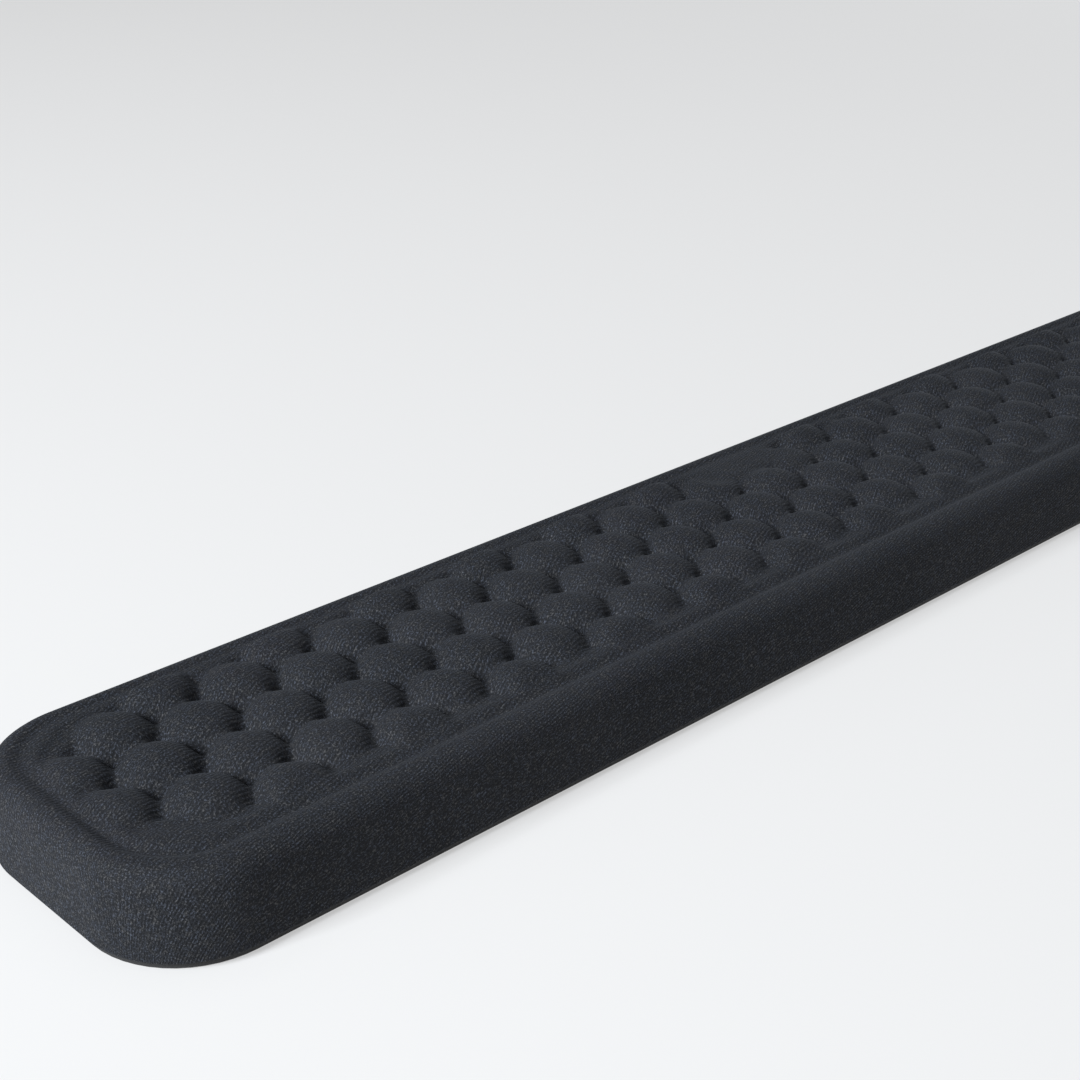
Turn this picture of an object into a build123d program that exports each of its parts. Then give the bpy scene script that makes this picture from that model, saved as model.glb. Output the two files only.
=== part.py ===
from build123d import *
import os

os.makedirs("parts", exist_ok=True)

# Padded keyboard wrist rest: a moulded foam block in a one-piece knit cover,
# closed underneath by an adhesive film and an anti-slip rubber sheet.
# X runs along the length, -Y is the edge nearest the user, +Y the keyboard
# side, Z = 0 is the desk. Millimetres.

# ---------------------------------------------------------------- dimensions
length = 427.0            # over the cover, end to end
width = 70.5              # over the cover, front to back
corner_radius = 22.0      # plan radius of the four corners
border_height = 20.3      # crest of the rim outside the groove
shoulder_radius = 4.0     # rounding between rim and side wall
field_height = 19.5       # level of the top inside the groove, between pillows
pillow_height = 22.0      # top of a full pillow, overall height

knit_thickness = 0.8      # cover fabric
under_radius = 1.0        # rounding where the cover turns under
hem_width = 12.0          # how far the cover is turned under the foam

base_thickness = 1.2      # rubber sheet
base_inset = 1.2          # rubber sheet stands back from the outline
film_thickness = 0.2      # adhesive film
film_inset = 2.5

groove_inset = 8.0        # groove centre line from the outline
groove_radius = 2.3       # radius of the rounded groove in the cover
groove_axis_height = 21.6 # height of the groove's centre

pitch_x = 14.3            # pillow columns along the length
pitch_y = 15.5            # pillows across the width, alternate columns staggered
columns = 13              # columns each side of the middle one

pillow_foot = 7.5         # footprint radius of a full pillow
edge_foot = 4.9           # pillow of the front and back rows, cut short by the border
edge_pillow_height = 21.3
edge_pillow_y = 20.6
end_foot = 2.5            # half pillow next to each end
end_pillow_height = 20.2
end_pillow_x = 200.7

# ------------------------------------------------------------ derived values
hem_z = base_thickness + film_thickness       # underside of the turned-under hem
foam_ring_z = hem_z + knit_thickness          # foam underside above the hem


def pillow_centres():
    """Centres of the full pillows and of the short edge and end pillows."""
    full, edge = [], []
    for k in range(-columns, columns + 1):
        x = k * pitch_x
        if k % 2:                               # columns with three full pillows
            full += [(x, y) for y in (-pitch_y, 0.0, pitch_y)]
        else:                                   # two full, two short ones
            full += [(x, y) for y in (-pitch_y / 2, pitch_y / 2)]
            edge.append((x, -edge_pillow_y))
            if k != 0:                          # smooth patch in the middle of the back edge
                edge.append((x, edge_pillow_y))
    ends = [(sx * end_pillow_x, sy * pitch_y / 2) for sx in (-1, 1) for sy in (-1, 1)]
    return full, edge, ends


full_centres, edge_centres, end_centres = pillow_centres()


def sphere_of(foot, top):
    """Radius and centre height of the sphere with this footprint and top."""
    h = top - field_height
    r = (foot ** 2 + h ** 2) / (2 * h)
    return r, top - r


def pillow_tool(foot, top, inset):
    """One pillow as a turned cap, inset evenly for the foam under the cover."""
    r, zc = sphere_of(foot, top)
    r -= inset
    floor = field_height - inset
    half = (r ** 2 - (floor - zc) ** 2) ** 0.5
    low = floor - 1.0
    mid = half * 0.5
    with BuildPart() as tool:
        with BuildSketch(Plane.XZ):
            with BuildLine():
                Line((0, zc + r), (0, low))
                Line((0, low), (half, low))
                Line((half, low), (half, floor))
                ThreePointArc((half, floor), (mid, zc + (r ** 2 - mid ** 2) ** 0.5), (0, zc + r))
            make_face()
        revolve(axis=Axis.Z)
    return tool.part


def groove_tool(radius):
    """Closed round-bottomed channel that follows the outline."""
    hl = length / 2 - groove_inset
    hw = width / 2 - groove_inset
    rc = corner_radius - groove_inset
    with BuildPart() as tool:
        with BuildLine(Plane.XY.offset(groove_axis_height)) as path:
            Line((-hl + rc, -hw), (hl - rc, -hw))
            CenterArc((hl - rc, -hw + rc), rc, 270, 90)
            Line((hl, -hw + rc), (hl, hw - rc))
            CenterArc((hl - rc, hw - rc), rc, 0, 90)
            Line((hl - rc, hw), (-hl + rc, hw))
            CenterArc((-hl + rc, hw - rc), rc, 90, 90)
            Line((-hl, hw - rc), (-hl, -hw + rc))
            CenterArc((-hl + rc, -hw + rc), rc, 180, 90)
        with BuildSketch(Plane(origin=(-hl + rc, -hw, groove_axis_height), x_dir=(0, 1, 0), z_dir=(1, 0, 0))):
            Circle(radius)
        sweep()
    return tool.part


outer_pillow = pillow_tool(pillow_foot, pillow_height, 0)
outer_edge_pillow = pillow_tool(edge_foot, edge_pillow_height, 0)
outer_end_pillow = pillow_tool(end_foot, end_pillow_height, 0)
inner_pillow = pillow_tool(pillow_foot, pillow_height, knit_thickness)
inner_edge_pillow = pillow_tool(edge_foot, edge_pillow_height, knit_thickness)
inner_end_pillow = pillow_tool(end_foot, end_pillow_height, knit_thickness)
outer_groove = groove_tool(groove_radius)
inner_groove = groove_tool(groove_radius + knit_thickness)

# ----------------------------------------------------------------- foam core
# Moulded block: vertical walls, rounded shoulder, groove and pillow field.
# Its underside is stepped so that the turned-under hem lies flush.
with BuildPart() as foam_core:
    with BuildSketch(Plane.XY.offset(foam_ring_z)):
        RectangleRounded(length - 2 * knit_thickness, width - 2 * knit_thickness,
                         corner_radius - knit_thickness)
    extrude(amount=border_height - knit_thickness - foam_ring_z)
    fillet(foam_core.faces().sort_by(Axis.Z)[-1].edges(), radius=shoulder_radius - knit_thickness)
    fillet(foam_core.faces().sort_by(Axis.Z)[0].edges(), radius=under_radius - knit_thickness)
    with BuildSketch(Plane.XY.offset(hem_z)):
        RectangleRounded(length - 2 * hem_width, width - 2 * hem_width, corner_radius - hem_width)
    extrude(amount=knit_thickness + 0.5)
    with BuildSketch(Plane.XY.offset(field_height - knit_thickness)):
        RectangleRounded(length - 2 * groove_inset, width - 2 * groove_inset,
                         corner_radius - groove_inset)
    extrude(amount=3, mode=Mode.SUBTRACT)
    add(inner_groove, mode=Mode.SUBTRACT)
    with Locations(*[(x, y, 0) for x, y in full_centres]):
        add(inner_pillow)
    with Locations(*[(x, y, 0) for x, y in edge_centres]):
        add(inner_edge_pillow)
    with Locations(*[(x, y, 0) for x, y in end_centres]):
        add(inner_end_pillow)

# ----------------------------------------------------------------- top cover
# The outer form of the whole pad less the foam: a skin of even thickness over
# the top and sides, open underneath inside the turned-under hem.
with BuildPart() as top_cover:
    with BuildSketch(Plane.XY.offset(hem_z)):
        RectangleRounded(length, width, corner_radius)
    extrude(amount=border_height - hem_z)
    fillet(top_cover.faces().sort_by(Axis.Z)[-1].edges(), radius=shoulder_radius)
    fillet(top_cover.faces().sort_by(Axis.Z)[0].edges(), radius=under_radius)
    with BuildSketch(Plane.XY.offset(field_height)):
        RectangleRounded(length - 2 * groove_inset, width - 2 * groove_inset,
                         corner_radius - groove_inset)
    extrude(amount=3, mode=Mode.SUBTRACT)
    add(outer_groove, mode=Mode.SUBTRACT)
    with Locations(*[(x, y, 0) for x, y in full_centres]):
        add(outer_pillow)
    with Locations(*[(x, y, 0) for x, y in edge_centres]):
        add(outer_edge_pillow)
    with Locations(*[(x, y, 0) for x, y in end_centres]):
        add(outer_end_pillow)
    add(foam_core.part, mode=Mode.SUBTRACT)

# ------------------------------------------------------------- adhesive film
with BuildPart() as base_adhesive:
    with BuildSketch(Plane.XY.offset(base_thickness)):
        RectangleRounded(length - 2 * film_inset, width - 2 * film_inset, corner_radius - film_inset)
    extrude(amount=film_thickness)

# ---------------------------------------------------------------- rubber base
with BuildPart() as base_pad:
    with BuildSketch(Plane.XY):
        RectangleRounded(length - 2 * base_inset, width - 2 * base_inset, corner_radius - base_inset)
    extrude(amount=base_thickness)
    fillet(base_pad.faces().sort_by(Axis.Z)[0].edges(), radius=0.3)

# -------------------------------------------------------------------- export
foam_core.part.label = "foam_core"
top_cover.part.label = "top_cover"
base_adhesive.part.label = "base_adhesive"
base_pad.part.label = "base_pad"

export_step(foam_core.part, "parts/foam_core.step")
export_step(top_cover.part, "parts/top_cover.step")
export_step(base_adhesive.part, "parts/base_adhesive.step")
export_step(base_pad.part, "parts/base_pad.step")
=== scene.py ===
import math

import bpy
import numpy as np
from mathutils import Matrix, Vector


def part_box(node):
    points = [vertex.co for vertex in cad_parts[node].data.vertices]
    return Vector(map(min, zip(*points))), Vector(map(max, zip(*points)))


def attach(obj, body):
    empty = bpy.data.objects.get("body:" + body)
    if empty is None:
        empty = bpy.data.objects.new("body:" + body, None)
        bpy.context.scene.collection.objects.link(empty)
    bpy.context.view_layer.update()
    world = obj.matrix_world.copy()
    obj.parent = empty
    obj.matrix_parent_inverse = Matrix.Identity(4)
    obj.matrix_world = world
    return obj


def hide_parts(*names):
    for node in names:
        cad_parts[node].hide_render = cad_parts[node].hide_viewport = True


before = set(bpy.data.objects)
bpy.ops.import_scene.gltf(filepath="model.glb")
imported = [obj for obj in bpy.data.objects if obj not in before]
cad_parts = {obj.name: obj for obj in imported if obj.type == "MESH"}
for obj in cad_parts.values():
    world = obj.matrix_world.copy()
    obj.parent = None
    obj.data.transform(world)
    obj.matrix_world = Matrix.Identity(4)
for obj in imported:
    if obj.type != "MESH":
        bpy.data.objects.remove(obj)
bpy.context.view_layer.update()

MM = 0.001
rng = np.random.default_rng(7)

# ------------------------------------------------------------------ sizes, mm
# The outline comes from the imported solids, so that every piece sits where
# the design says.
lo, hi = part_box("top_cover")
HL = (hi.x - lo.x) / 2 / MM            # half length of the cover
HW = (hi.y - lo.y) / 2 / MM            # half width of the cover
HEM_Z = lo.z / MM                      # underside of the turned-under hem
RC = 22.0                              # plan radius of the corners
RIM = 20.3                             # crest of the rim
SHOULDER = 4.0
UNDER = 1.0
KNIT = 0.8
HEM = 12.0

PX, PY = 14.3, 15.5                    # pillow columns, pillows in a column
APEX, FLOOR = 22.2, 17.9
SHIFT = 1.0                            # the groove lies a little towards the back
FIELD_SHIFT = 2.9                      # and the pillow field a little more
GROOVE = 7.0                           # groove in the moulded top


# ------------------------------------------------------------ top of the pad
def smooth(t):
    t = np.clip(t, 0.0, 1.0)
    return t * t * (3 - 2 * t)


def inset(x, y):
    """Distance from the outline, positive inside."""
    qx, qy = np.abs(x) - (HL - RC), np.abs(y) - (HW - RC)
    outside = np.hypot(np.maximum(qx, 0), np.maximum(qy, 0))
    return RC - np.where((qx > 0) & (qy > 0), outside, np.maximum(qx, qy))


def pillows():
    """Centre, height and small unevenness of each moulded pillow."""
    out = []
    for k in range(-14, 15):
        ys = (-15.5, 0.0, 15.5) if k % 2 else (-23.25, -7.75, 7.75, 23.25)
        for y in ys:
            if k == 0 and y > 20 or abs(k) == 14 and abs(y) > 20:
                continue               # smooth patch in the middle of the back edge, bare corners
            out.append((k * PX + rng.normal(0, 0.16), y + rng.normal(0, 0.16),
                        APEX - (0.8 if abs(k) == 14 or abs(k) == 1 and y > 10 else 0.0) + rng.normal(0, 0.10), 1.0 + rng.normal(0, 0.03)))
    return out


def hollows():
    """Deepest points, each between three pillows."""
    out = []
    for x, y, _, _ in PILLOWS:
        for side in (-1, 1):
            if abs(x) < 25 and y > 12:
                continue
            out.append((x + side * 9.5 + rng.normal(0, 0.12), y + rng.normal(0, 0.12),
                        1.0 + rng.normal(0, 0.12)))
    return out


PILLOWS = pillows()
HOLLOWS = hollows()


def waves(x, y, seed, size, n=10):
    """Slow seeded unevenness, about -1 to 1."""
    r = np.random.default_rng(seed)
    out = np.zeros_like(x)
    for _ in range(n):
        a = r.uniform(0, 2 * math.pi)
        f = r.uniform(0.6, 1.6) / size
        out += np.sin(2 * math.pi * f * (x * math.cos(a) + y * math.sin(a)) + r.uniform(0, 6.28))
    return out / math.sqrt(n) / 1.6


def smax(a, b, k):
    m = np.maximum(a, b)
    return m + k * np.log(np.exp((a - m) / k) + np.exp((b - m) / k))


def smin(a, b, k):
    return -smax(-a, -b, k)


def rim_level(m, depth):
    """Rim, the groove inside it and the narrow border inside the groove."""
    return (RIM - 0.30 * smooth((m - GROOVE + 2.0) / 4.0)
            - depth * np.exp(-((m - GROOVE) / 1.6) ** 2))


def top_z(x, y):
    d = inset(x, y)
    back = smooth((y + 6.0) / 26.0)
    ym = y - SHIFT - 1.5 * back * smooth((HL - 12 - np.abs(x)) / 12.0)
    m = inset(x, ym)
    yf = y - FIELD_SHIFT
    # the ground between the pillows sinks only where pillows stand all round
    crowd = np.zeros_like(x)
    for cx, cy, _, _ in PILLOWS:
        near = np.abs(x - cx) < 20
        w = 0.75 if abs(cy) > 20 else 1.0
        crowd[near] += w * np.exp(-((x[near] - cx) ** 2 + (yf[near] - cy) ** 2) / 8.0 ** 2)
    s = smooth((crowd - 0.34) / 0.40) * smooth((m - 9.0) / 2.5) * smooth((HL - 12.5 - np.abs(x)) / 3.5)
    # a shallow trough lies between the border and the pillows next to it
    trough = 0.65 * smooth((m - 9.8) / 2.4) * smooth((crowd - 0.08) / 0.2)
    rim = rim_level(m, 1.05 - 0.50 * back)                 # the groove fades along the back
    floor = (rim - trough) * (1 - s) + FLOOR * s
    k = 0.42
    acc = np.zeros_like(x)
    for cx, cy, top, e in PILLOWS:
        near = np.abs(x - cx) < 16
        dx, dy = x[near] - cx, (yf[near] - cy) * 0.93
        r2 = (dx * dx + dy * dy) * e
        z = top - 0.034 * r2 - 0.00028 * r2 * r2
        acc[near] += np.exp((np.maximum(z, 10) - 20) / k)
    z = 20 + k * np.log(np.maximum(acc, 1e-9))
    cut = 19.2 + (0.52 + 0.55 * back) * (m - 8.0)                      # pillows are cut short by the border
    z = smin(z, cut, 0.35)
    z = smax(z, floor, 0.40)
    draw = np.zeros_like(x)
    for cx, cy, w in HOLLOWS:
        near = (np.abs(x - cx) < 9) & (np.abs(yf - cy) < 9)
        draw[near] += w * np.exp(-((x[near] - cx) ** 2 + (yf[near] - cy) ** 2) / 2.3 ** 2)
    z = z - 1.15 * np.minimum(draw, 1.5) * s
    # smooth patch in the middle of the back edge
    blank = smooth((19.5 - np.abs(x)) / 9.0) * smooth((yf - 10.0) / 8.0)
    flat = np.minimum(rim + 0.30 * smooth((m - 8.5) / 4), 20.35)
    z = z * (1 - blank) + flat * blank
    z = z + 0.05 * waves(x, y, 3, 9.0) * smooth((d - 1.0) / 4.0)
    # the rim meets the rounded shoulder at its crest
    t = smooth((d - 3.9) / 1.6)
    return RIM * (1 - t) + z * t


# ------------------------------------------------- structured mesh of the pad
class Plan:
    """A rounded rectangle as a grid, its four side strips and corner fans."""

    def __init__(self, hl, hw, rc, nx, ny, nc):
        self.bx, self.by, self.nx, self.ny, self.nc = hl - rc, hw - rc, nx, ny, nc
        gx = np.linspace(-self.bx, self.bx, nx + 1)
        gy = np.linspace(-self.by, self.by, ny + 1)
        self.gx, self.gy = (a.ravel() for a in np.meshgrid(gx, gy, indexing="ij"))
        at = lambda i, j: i * (ny + 1) + j
        loop, dirs = [], []
        corner = lambda i, j, a0: [(at(i, j), a0 + 90.0 * m / nc) for m in range(nc)]
        cols = [(at(i, 0), -90.0) for i in range(nx)] + corner(nx, 0, -90.0)
        cols += [(at(nx, j), 0.0) for j in range(ny)] + corner(nx, ny, 0.0)
        cols += [(at(nx - i, ny), 90.0) for i in range(nx)] + corner(0, ny, 90.0)
        cols += [(at(0, ny - j), 180.0) for j in range(ny)] + corner(0, 0, 180.0)
        self.loop = np.array([c[0] for c in cols])
        ang = np.radians([c[1] for c in cols])
        self.dx, self.dy = np.cos(ang), np.sin(ang)
        self.n = len(cols)

    def row(self, rho):
        return self.gx[self.loop] + self.dx * rho, self.gy[self.loop] + self.dy * rho

    def faces(self, rows, grid=True):
        """Faces of the grid and of the rows of columns round it, outward side out."""
        nx, ny, n = self.nx, self.ny, self.n
        out = []
        if grid:
            i, j = np.meshgrid(np.arange(nx), np.arange(ny), indexing="ij")
            a = (i * (ny + 1) + j).ravel()
            out += np.stack([a, a + ny + 1, a + ny + 2, a + 1], 1).tolist()
        start = (nx + 1) * (ny + 1)
        c = np.arange(n)
        c1 = (c + 1) % n
        if grid:
            for p, q in zip(c.tolist(), c1.tolist()):
                a, b = int(self.loop[p]), int(self.loop[q])
                if a == b:
                    out.append([a, start + p, start + q])
                else:
                    out.append([a, start + p, start + q, b])
        for r in range(rows - 1):
            s0, s1 = start + r * n, start + (r + 1) * n
            out += np.stack([s0 + c, s1 + c, s1 + c1, s0 + c1], 1).tolist()
        return out


def normals(v, faces):
    n = np.zeros_like(v)
    quads = np.array([f for f in faces if len(f) == 4])
    tris = np.array([f for f in faces if len(f) == 3]).reshape(-1, 3)
    for f, (p, q, r, s) in ((quads, (0, 2, 1, 3)),):
        fn = np.cross(v[f[:, q]] - v[f[:, p]], v[f[:, s]] - v[f[:, r]])
        for k in range(4):
            np.add.at(n, f[:, k], fn)
    if len(tris):
        fn = np.cross(v[tris[:, 1]] - v[tris[:, 0]], v[tris[:, 2]] - v[tris[:, 0]])
        for k in range(3):
            np.add.at(n, tris[:, k], fn)
    return n / np.maximum(np.linalg.norm(n, axis=1), 1e-12)[:, None]


def make_object(name, verts_mm, faces, smooth_angle=40.0):
    me = bpy.data.meshes.new(name)
    me.from_pydata((np.asarray(verts_mm) * MM).tolist(), [], faces)
    me.validate()
    me.polygons.foreach_set("use_smooth", [True] * len(me.polygons))
    me.set_sharp_from_angle(angle=math.radians(smooth_angle))
    me.update()
    ob = bpy.data.objects.new(name, me)
    bpy.context.scene.collection.objects.link(ob)
    return ob


# Cover: fine outer face, coarser inner face 0.8 mm inside it, joined at the
# free edge of the hem.
NX, NY, NC = 468, 34, 36
full = Plan(HL, HW, RC, NX, NY, NC)
half = Plan(HL, HW, RC, NX // 2, NY // 2, NC // 2)

top_rho = np.concatenate([np.linspace(0, RC - SHOULDER, 24)[1:]])
rows = [("top", r) for r in top_rho]
rows += [("arc", a) for a in np.linspace(0, 90, 7)[1:]]
wall_low = HEM_Z + UNDER
rows += [("wall", z) for z in np.linspace(RIM - SHOULDER, wall_low, 10)[1:]]
rows += [("under", a) for a in np.linspace(0, 90, 5)[1:]]
rows += [("hem", r) for r in np.linspace(RC - UNDER, RC - HEM, 6)[1:]]


def outer_points(plan):
    pts = [np.stack([plan.gx, plan.gy, top_z(plan.gx, plan.gy)], 1)]
    for kind, t in rows:
        if kind == "top":
            x, y = plan.row(t)
            z = top_z(x, y)
        elif kind == "arc":
            a = math.radians(t)
            x, y = plan.row(RC - SHOULDER + SHOULDER * math.sin(a))
            z = np.full(plan.n, RIM - SHOULDER + SHOULDER * math.cos(a))
        elif kind == "wall":
            x, y = plan.row(RC)
            z = np.full(plan.n, t)
        elif kind == "under":
            a = math.radians(t)
            x, y = plan.row(RC - UNDER + UNDER * math.cos(a))
            z = np.full(plan.n, wall_low - UNDER * math.sin(a))
        else:
            x, y = plan.row(t)
            z = np.full(plan.n, HEM_Z)
        if kind in ("arc", "wall", "under"):
            # the side walls are soft: they belly by a few tenths of a millimetre
            h = np.clip((RIM - z) / (RIM - HEM_Z), 0, 1)
            belly = np.sin(math.pi * h) * (0.10 + 0.16 * waves(x, y, 11, 60.0) + 0.05 * waves(x + z, y - z, 12, 14.0))
            belly = np.minimum(belly, 0.22)
            x, y = x + plan.dx * belly, y + plan.dy * belly
        pts.append(np.stack([x, y, z], 1))
    return np.concatenate(pts)


V = outer_points(full)
F = full.faces(len(rows))
N = normals(V, F)

# the inner face uses every other column and row of the outer one
keep_rows = [r for r in range(len(rows)) if r % 2 == 1]
if keep_rows[-1] != len(rows) - 1:
    keep_rows.append(len(rows) - 1)
gi, gj = np.meshgrid(np.arange(0, NX + 1, 2), np.arange(0, NY + 1, 2), indexing="ij")
pick = (gi * (NY + 1) + gj).ravel().tolist()
base = (NX + 1) * (NY + 1)
for r in keep_rows:
    pick += (base + r * full.n + np.arange(0, full.n, 2)).tolist()
pick = np.array(pick)
inner_faces = half.faces(len(keep_rows))

n_top = base + sum(1 for kind, _ in rows if kind == "top") * full.n
lowest = V[:, 2].copy()
tx, ty = V[:n_top, 0], V[:n_top, 1]
for ax, ay in ((1, 0), (-1, 0), (0, 1), (0, -1), (0.8, 0.8), (-0.8, 0.8), (0.8, -0.8), (-0.8, -0.8),
               (2, 0), (-2, 0), (0, 2), (0, -2)):
    lowest[:n_top] = np.minimum(lowest[:n_top], top_z(tx + ax, ty + ay))


def inner(gap):
    """The outer face lowered by the gap on top, and set in by it round the sides."""
    out = V - N * gap
    out[:n_top, :2] = V[:n_top, :2]
    out[:n_top, 2] = lowest[:n_top] - gap
    m = inset(V[:n_top, 0], V[:n_top, 1])
    rim = smooth((7.0 - m) / 2.0)[:, None]                # over the rim, along the normal again
    out[:n_top] = out[:n_top] * (1 - rim) + (V[:n_top] - N[:n_top] * gap) * rim
    return out


inner_v = inner(KNIT)[pick]
off = len(V)
cover_faces = F + [[off + i for i in reversed(f)] for f in inner_faces]
o_last = base + (len(rows) - 1) * full.n
i_last = off + (NX // 2 + 1) * (NY // 2 + 1) + (len(keep_rows) - 1) * half.n
for c in range(half.n):
    a, b, e = o_last + 2 * c, o_last + 2 * c + 1, o_last + (2 * c + 2) % full.n
    p, q = i_last + c, i_last + (c + 1) % half.n
    cover_faces += [[a, p, b], [b, p, q], [b, q, e]]
cover = make_object("knit_cover", np.concatenate([V, inner_v]), cover_faces)

# Foam core: the same form a hair inside the cover, closed underneath with the
# step that the hem lies in.
foam_v = inner(KNIT + 0.04)[pick]
foam_faces = list(inner_faces)
start = len(foam_v)
last = (NX // 2 + 1) * (NY // 2 + 1) + (len(keep_rows) - 1) * half.n
# inner edge of the hem, then down to the film and across
edge_rho = RC - HEM - 0.15
extra = []
for rho, z in ((edge_rho, HEM_Z + KNIT + 0.03), (edge_rho, HEM_Z + 0.01), (edge_rho - 3, HEM_Z + 0.01)):
    x, y = half.row(rho)
    extra.append(np.stack([x, y, np.full(half.n, z)], 1))
bottom = np.stack([half.gx, half.gy, np.full(len(half.gx), HEM_Z + 0.01)], 1)
foam_all = np.concatenate([foam_v] + extra + [bottom])
loops = [last, start, start + half.n, start + 2 * half.n]
c = np.arange(half.n); c1 = (c + 1) % half.n
for s0, s1 in zip(loops[:-1], loops[1:]):
    foam_faces += np.stack([s0 + c, s1 + c, s1 + c1, s0 + c1], 1).tolist()
bstart = start + 3 * half.n
for p, q in zip(c.tolist(), c1.tolist()):
    a, b = bstart + int(half.loop[p]), bstart + int(half.loop[q])
    s = loops[-1]
    foam_faces.append([s + p, a, s + q] if a == b else [s + p, a, b, s + q])
i, j = np.meshgrid(np.arange(half.nx), np.arange(half.ny), indexing="ij")
a = (bstart + i * (half.ny + 1) + j).ravel()
foam_faces += np.stack([a, a + 1, a + half.ny + 2, a + half.ny + 1], 1).tolist()
foam = make_object("moulded_foam", foam_all, foam_faces)

# ------------------------------------------------------------------ materials


class Nodes:
    """Short way to write a node tree."""

    def __init__(self, name):
        self.m = bpy.data.materials.new(name)
        self.m.use_nodes = True
        self.t = self.m.node_tree
        self.t.nodes.clear()
        self.out = self.new("ShaderNodeOutputMaterial")
        self.bsdf = self.new("ShaderNodeBsdfPrincipled")
        self.link(self.bsdf.outputs[0], self.out.inputs[0])

    def new(self, kind, **props):
        n = self.t.nodes.new(kind)
        for k, v in props.items():
            setattr(n, k, v)
        return n

    def link(self, a, b):
        self.t.links.new(a, b)

    def put(self, socket, value):
        if isinstance(value, bpy.types.NodeSocket):
            self.link(value, socket)
        else:
            socket.default_value = value

    def math(self, op, a, b=None, c=None, clamp=False):
        n = self.new("ShaderNodeMath", operation=op, use_clamp=clamp)
        for s, v in zip(n.inputs, (a, b, c)):
            if v is not None:
                self.put(s, v)
        return n.outputs[0]

    def ramp(self, value, lo, hi, a=0.0, b=1.0):
        n = self.new("ShaderNodeMapRange", interpolation_type="SMOOTHSTEP")
        for s, v in zip(n.inputs[:5], (value, lo, hi, a, b)):
            self.put(s, v)
        return n.outputs[0]

    def noise(self, vector, scale, detail=2.0, rough=0.5):
        n = self.new("ShaderNodeTexNoise")
        self.put(n.inputs["Vector"], vector)
        n.inputs["Scale"].default_value = scale
        n.inputs["Detail"].default_value = detail
        n.inputs["Roughness"].default_value = rough
        return n.outputs["Fac"]

    def xyz(self, x, y, z):
        n = self.new("ShaderNodeCombineXYZ")
        for s, v in zip(n.inputs, (x, y, z)):
            self.put(s, v)
        return n.outputs[0]

    def mix(self, fac, a, b):
        n = self.new("ShaderNodeMix", data_type="RGBA")
        self.put(n.inputs[0], fac)
        self.put(n.inputs[6], a)
        self.put(n.inputs[7], b)
        return n.outputs[2]

    def bump(self, height, distance, strength=1.0, after=None):
        n = self.new("ShaderNodeBump")
        self.put(n.inputs["Height"], height)
        n.inputs["Distance"].default_value = distance
        n.inputs["Strength"].default_value = strength
        if after is not None:
            self.link(after, n.inputs["Normal"])
        return n.outputs[0]


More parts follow.
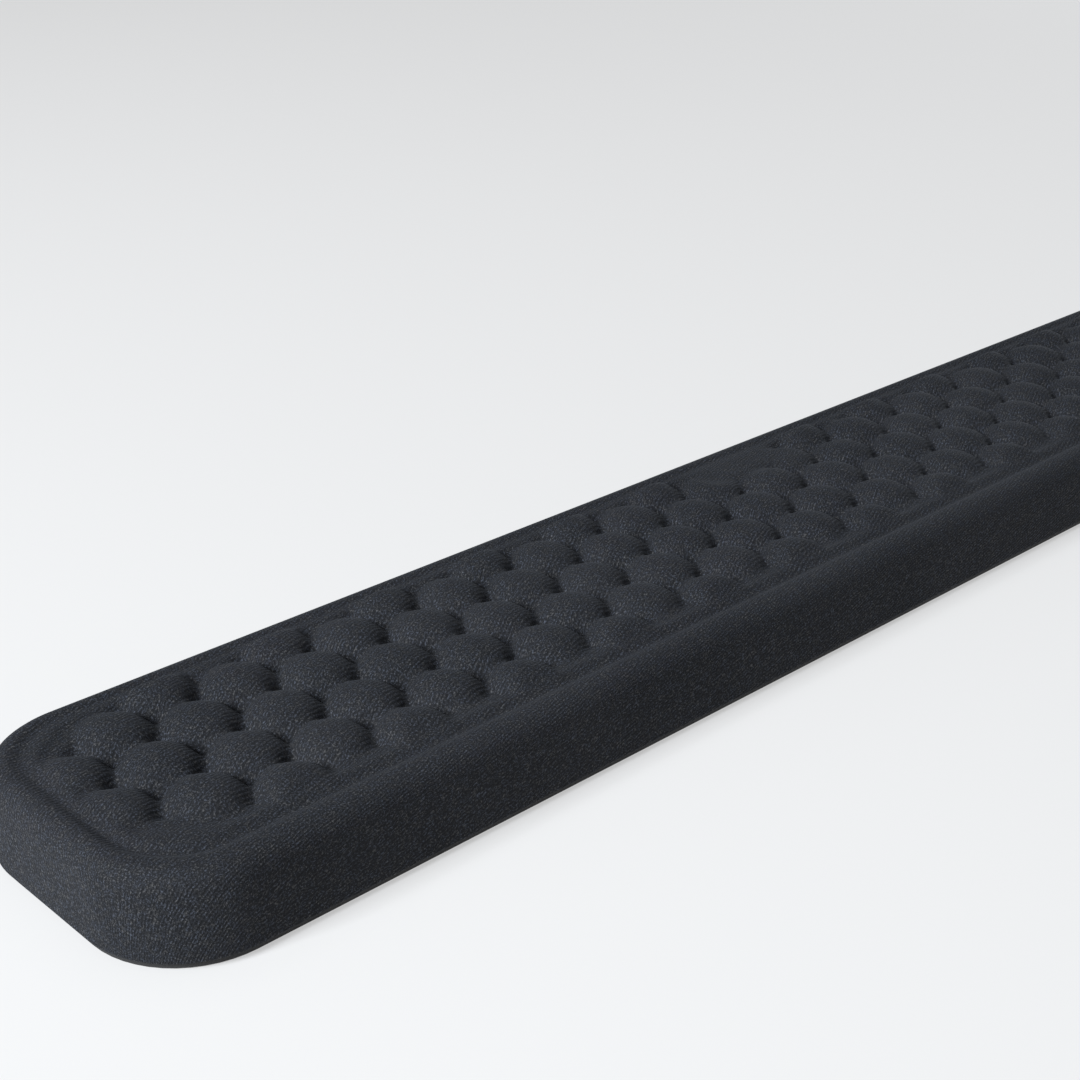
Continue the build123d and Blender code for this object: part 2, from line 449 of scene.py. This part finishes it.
def knit_material():
    k = Nodes("charcoal_stretch_knit")
    co = k.new("ShaderNodeTexCoord").outputs["Object"]
    sc = k.new("ShaderNodeVectorMath", operation="SCALE")
    k.link(co, sc.inputs[0]); sc.inputs["Scale"].default_value = 1000.0      # millimetres
    p = sc.outputs[0]
    sep = k.new("ShaderNodeSeparateXYZ"); k.link(p, sep.inputs[0])
    x, y, z = sep.outputs
    drop = k.math("SUBTRACT", RIM, z)
    # the fabric runs on down the walls and round the corners: unroll it there
    gx = k.math("MULTIPLY", k.math("SIGN", x), k.math("MAXIMUM", k.math("SUBTRACT", k.math("ABSOLUTE", x), HL - RC), 0.0))
    gy = k.math("MULTIPLY", k.math("SIGN", y), k.math("MAXIMUM", k.math("SUBTRACT", k.math("ABSOLUTE", y), HW - RC), 0.0))
    far = k.math("MAXIMUM", k.math("SQRT", k.math("ADD", k.math("MULTIPLY", gx, gx), k.math("MULTIPLY", gy, gy))), 0.01)
    w = k.math("DIVIDE", k.math("MULTIPLY", k.ramp(far, RC - 6, RC - 0.5), drop), far)
    u = k.math("ADD", x, k.math("MULTIPLY", gx, w))
    v = k.math("ADD", y, k.math("MULTIPLY", gy, w))
    warp = k.math("MULTIPLY", k.math("SUBTRACT", k.noise(p, 0.16, 3.0), 0.5), 2.2)
    # across the wales (n) and along them (t)
    n = k.math("ADD", k.math("ADD", k.math("MULTIPLY", u, -0.385), k.math("MULTIPLY", v, 1.12)), warp)
    t = k.math("ADD", k.math("MULTIPLY", u, 0.945), k.math("MULTIPLY", v, 0.326))
    wale = k.math("ADD", k.math("MULTIPLY", k.math("SINE", k.math("MULTIPLY", n, 2 * math.pi)), 0.5), 0.5)
    # stitches lean to one side and step from wale to wale
    cell = k.math("FLOOR", n)
    shift = k.math("MULTIPLY", cell, 0.37)
    lean = k.math("MULTIPLY", k.math("SINE", k.math("MULTIPLY", n, 2 * math.pi)), 0.18)
    s = k.math("ADD", k.math("ADD", k.math("DIVIDE", t, 0.52), shift), lean)
    stitch = k.math("ADD", k.math("MULTIPLY", k.math("SINE", k.math("MULTIPLY", s, 2 * math.pi)), 0.5), 0.5)
    # short pale dashes of the heather yarn, along the wales; their pale colour is lightened as a painted highlight
    dash = k.noise(k.xyz(k.math("DIVIDE", t, 0.42), k.math("MULTIPLY", n, 2.6), k.math("MULTIPLY", z, 0.05)), 1.0, 2.0, 0.65)
    fleck = k.ramp(dash, 0.50, 0.68)
    fine = k.noise(p, 2.5, 3.0, 0.68)
    # painted highlight: fine pale specks are painted into the colour as glints
    glint = k.ramp(fine, 0.55, 0.70)
    broad = k.noise(p, 0.035, 3.0, 0.5)
    # the heather dashes together with the painted glints; the pale colour below is lightened as a painted highlight
    heather_and_glint = k.math("ADD", k.math("MULTIPLY", fleck, 0.55), k.math("MULTIPLY", glint, 0.45), clamp=True)
    deep = k.mix(k.ramp(broad, 0.3, 0.7), (0.0124, 0.0132, 0.0154, 1), (0.0166, 0.0173, 0.0198, 1))
    pale = k.mix(k.ramp(k.noise(p, 0.8, 1.0), 0.4, 0.65), (0.082, 0.094, 0.122, 1), (0.110, 0.110, 0.112, 1))
    col = k.mix(heather_and_glint, deep, pale)
    # painted shade: the gaps between the wales are darkened in the colour
    gap = k.math("MULTIPLY", k.ramp(wale, 0.0, 0.55, 1.0, 0.0), 0.36)
    col = k.mix(gap, col, (0.0060, 0.0062, 0.0068, 1))
    k.link(col, k.bsdf.inputs["Base Color"])
    k.put(k.bsdf.inputs["Roughness"], k.ramp(heather_and_glint, 0.0, 1.0, 0.86, 0.62))
    h = k.math("ADD", k.math("MULTIPLY", wale, 0.90), k.math("MULTIPLY", k.math("MULTIPLY", stitch, wale), 0.35))
    h = k.math("ADD", h, k.math("MULTIPLY", fine, 0.28))
    k.link(k.bump(h, 0.00008, 0.72), k.bsdf.inputs["Normal"])
    k.bsdf.inputs["Specular IOR Level"].default_value = 0.09
    k.bsdf.inputs["Sheen Weight"].default_value = 0.03
    k.bsdf.inputs["Sheen Roughness"].default_value = 0.45
    k.bsdf.inputs["Sheen Tint"].default_value = (0.80, 0.87, 1.0, 1)
    return k.m


def foam_material():
    k = Nodes("moulded_memory_foam")
    co = k.new("ShaderNodeTexCoord").outputs["Object"]
    cells = k.noise(co, 1400.0, 4.0, 0.65)
    broad = k.noise(co, 35.0, 2.0)
    col = k.mix(k.ramp(broad, 0.3, 0.7), (0.62, 0.57, 0.44, 1), (0.70, 0.66, 0.55, 1))
    # painted shade: the colour darkens in the cells, where the bump sinks
    col = k.mix(k.ramp(cells, 0.35, 0.48, 0.55, 0.0), col, (0.42, 0.37, 0.26, 1))
    k.link(col, k.bsdf.inputs["Base Color"])
    k.put(k.bsdf.inputs["Roughness"], k.ramp(cells, 0.3, 0.7, 0.95, 0.8))
    k.link(k.bump(cells, 0.0002, 0.8), k.bsdf.inputs["Normal"])
    k.bsdf.inputs["Specular IOR Level"].default_value = 0.25
    return k.m


def film_material():
    k = Nodes("adhesive_film")
    co = k.new("ShaderNodeTexCoord").outputs["Object"]
    n = k.noise(co, 260.0, 3.0)
    k.link(k.mix(k.ramp(n, 0.35, 0.65), (0.62, 0.60, 0.52, 1), (0.74, 0.73, 0.68, 1)), k.bsdf.inputs["Base Color"])
    k.put(k.bsdf.inputs["Roughness"], k.ramp(n, 0.3, 0.7, 0.25, 0.45))
    k.link(k.bump(n, 0.00005, 0.6), k.bsdf.inputs["Normal"])
    return k.m


def rubber_material():
    k = Nodes("anti_slip_rubber")
    co = k.new("ShaderNodeTexCoord").outputs["Object"]
    grain = k.noise(co, 2600.0, 3.0, 0.6)
    broad = k.noise(co, 28.0, 3.0)
    dust = k.ramp(k.noise(co, 420.0, 4.0, 0.7), 0.58, 0.75, 0.0, 0.35)
    col = k.mix(k.ramp(broad, 0.3, 0.7), (0.0165, 0.0168, 0.0175, 1), (0.0235, 0.0235, 0.0240, 1))
    col = k.mix(dust, col, (0.050, 0.049, 0.047, 1))
    k.link(col, k.bsdf.inputs["Base Color"])
    k.put(k.bsdf.inputs["Roughness"], k.ramp(grain, 0.3, 0.7, 0.72, 0.5))
    k.link(k.bump(grain, 0.00006, 0.7), k.bsdf.inputs["Normal"])
    k.bsdf.inputs["Specular IOR Level"].default_value = 0.4
    return k.m


knit, foam_m, film_m, rubber_m = knit_material(), foam_material(), film_material(), rubber_material()


def dress(ob, mat):
    ob.data.materials.clear()
    ob.data.materials.append(mat)


dress(cover, knit)
dress(foam, foam_m)
dress(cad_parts["base_adhesive"], film_m)
dress(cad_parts["base_pad"], rubber_m)

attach(cover, "root"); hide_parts("top_cover")
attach(foam, "root"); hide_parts("foam_core")

# ----------------------------------------------------------- floor and lights
scene = bpy.context.scene


def floor_material():
    k = Nodes("pale_floor")
    co = k.new("ShaderNodeTexCoord").outputs["Object"]
    n = k.noise(co, 3.0, 2.0)
    k.link(k.mix(n, (0.305, 0.305, 0.305, 1), (0.315, 0.315, 0.315, 1)), k.bsdf.inputs["Base Color"])
    k.bsdf.inputs["Roughness"].default_value = 0.9
    k.bsdf.inputs["Emission Color"].default_value = (1, 1, 1, 1)
    k.bsdf.inputs["Emission Strength"].default_value = 0.50
    k.bsdf.inputs["Specular IOR Level"].default_value = 0.1
    return k.m


me = bpy.data.meshes.new("floor")
S, DESK = 6.0, -0.0002
me.from_pydata([(-S, -S, DESK), (S, -S, DESK), (S, S, DESK), (-S, S, DESK)], [], [(0, 1, 2, 3)])
floor = bpy.data.objects.new("floor", me)
scene.collection.objects.link(floor)
floor.data.materials.append(floor_material())


def area(name, at, target, size, power, color=(1, 1, 1)):
    light = bpy.data.lights.new(name, "AREA")
    light.shape = "RECTANGLE"
    light.size, light.size_y = size
    light.energy = power
    light.color = color
    ob = bpy.data.objects.new(name, light)
    ob.location = at
    d = Vector(target) - Vector(at)
    ob.rotation_euler = d.to_track_quat("-Z", "Y").to_euler()
    scene.collection.objects.link(ob)
    return ob


area("overhead", (0.0, 0.05, 1.7), (0, 0, 0), (1.8, 1.5), 5, (1.0, 0.975, 0.94))
area("key_left", (-1.45, -0.05, 0.92), (-0.02, 0, 0), (0.6, 0.6), 50, (0.92, 0.96, 1.0))
area("low_right", (1.5, 0.45, 0.35), (0.2, 0, 0.02), (0.7, 0.4), 3, (0.90, 0.95, 1.0))

world = bpy.data.worlds.new("studio")
world.use_nodes = True
bg = world.node_tree.nodes["Background"]
bg.inputs[0].default_value = (0.93, 0.95, 1.0, 1)
bg.inputs[1].default_value = 0.11
scene.world = world
scene.view_settings.view_transform = "Standard"
scene.view_settings.look = "None"

# --------------------------------------------------------------------- camera
cam_data = bpy.data.cameras.new("camera")
cam_data.sensor_width = 36.0
cam_data.lens = 63.203
cam_data.clip_start = 0.01
cam_data.clip_end = 50
cam = bpy.data.objects.new("camera", cam_data)
scene.collection.objects.link(cam)
EYE = Vector((-0.343455, -0.266032, 0.206272))
RIGHT = Vector((0.72576469, -0.68794210, 0.00113493)).normalized()
DOWN = Vector((-0.28894058, -0.30632268, -0.90701696)).normalized()
FORWARD = RIGHT.cross(DOWN).normalized()
cam.matrix_world = Matrix.Translation(EYE) @ Matrix((RIGHT, -DOWN, -FORWARD)).transposed().to_4x4()
scene.camera = cam
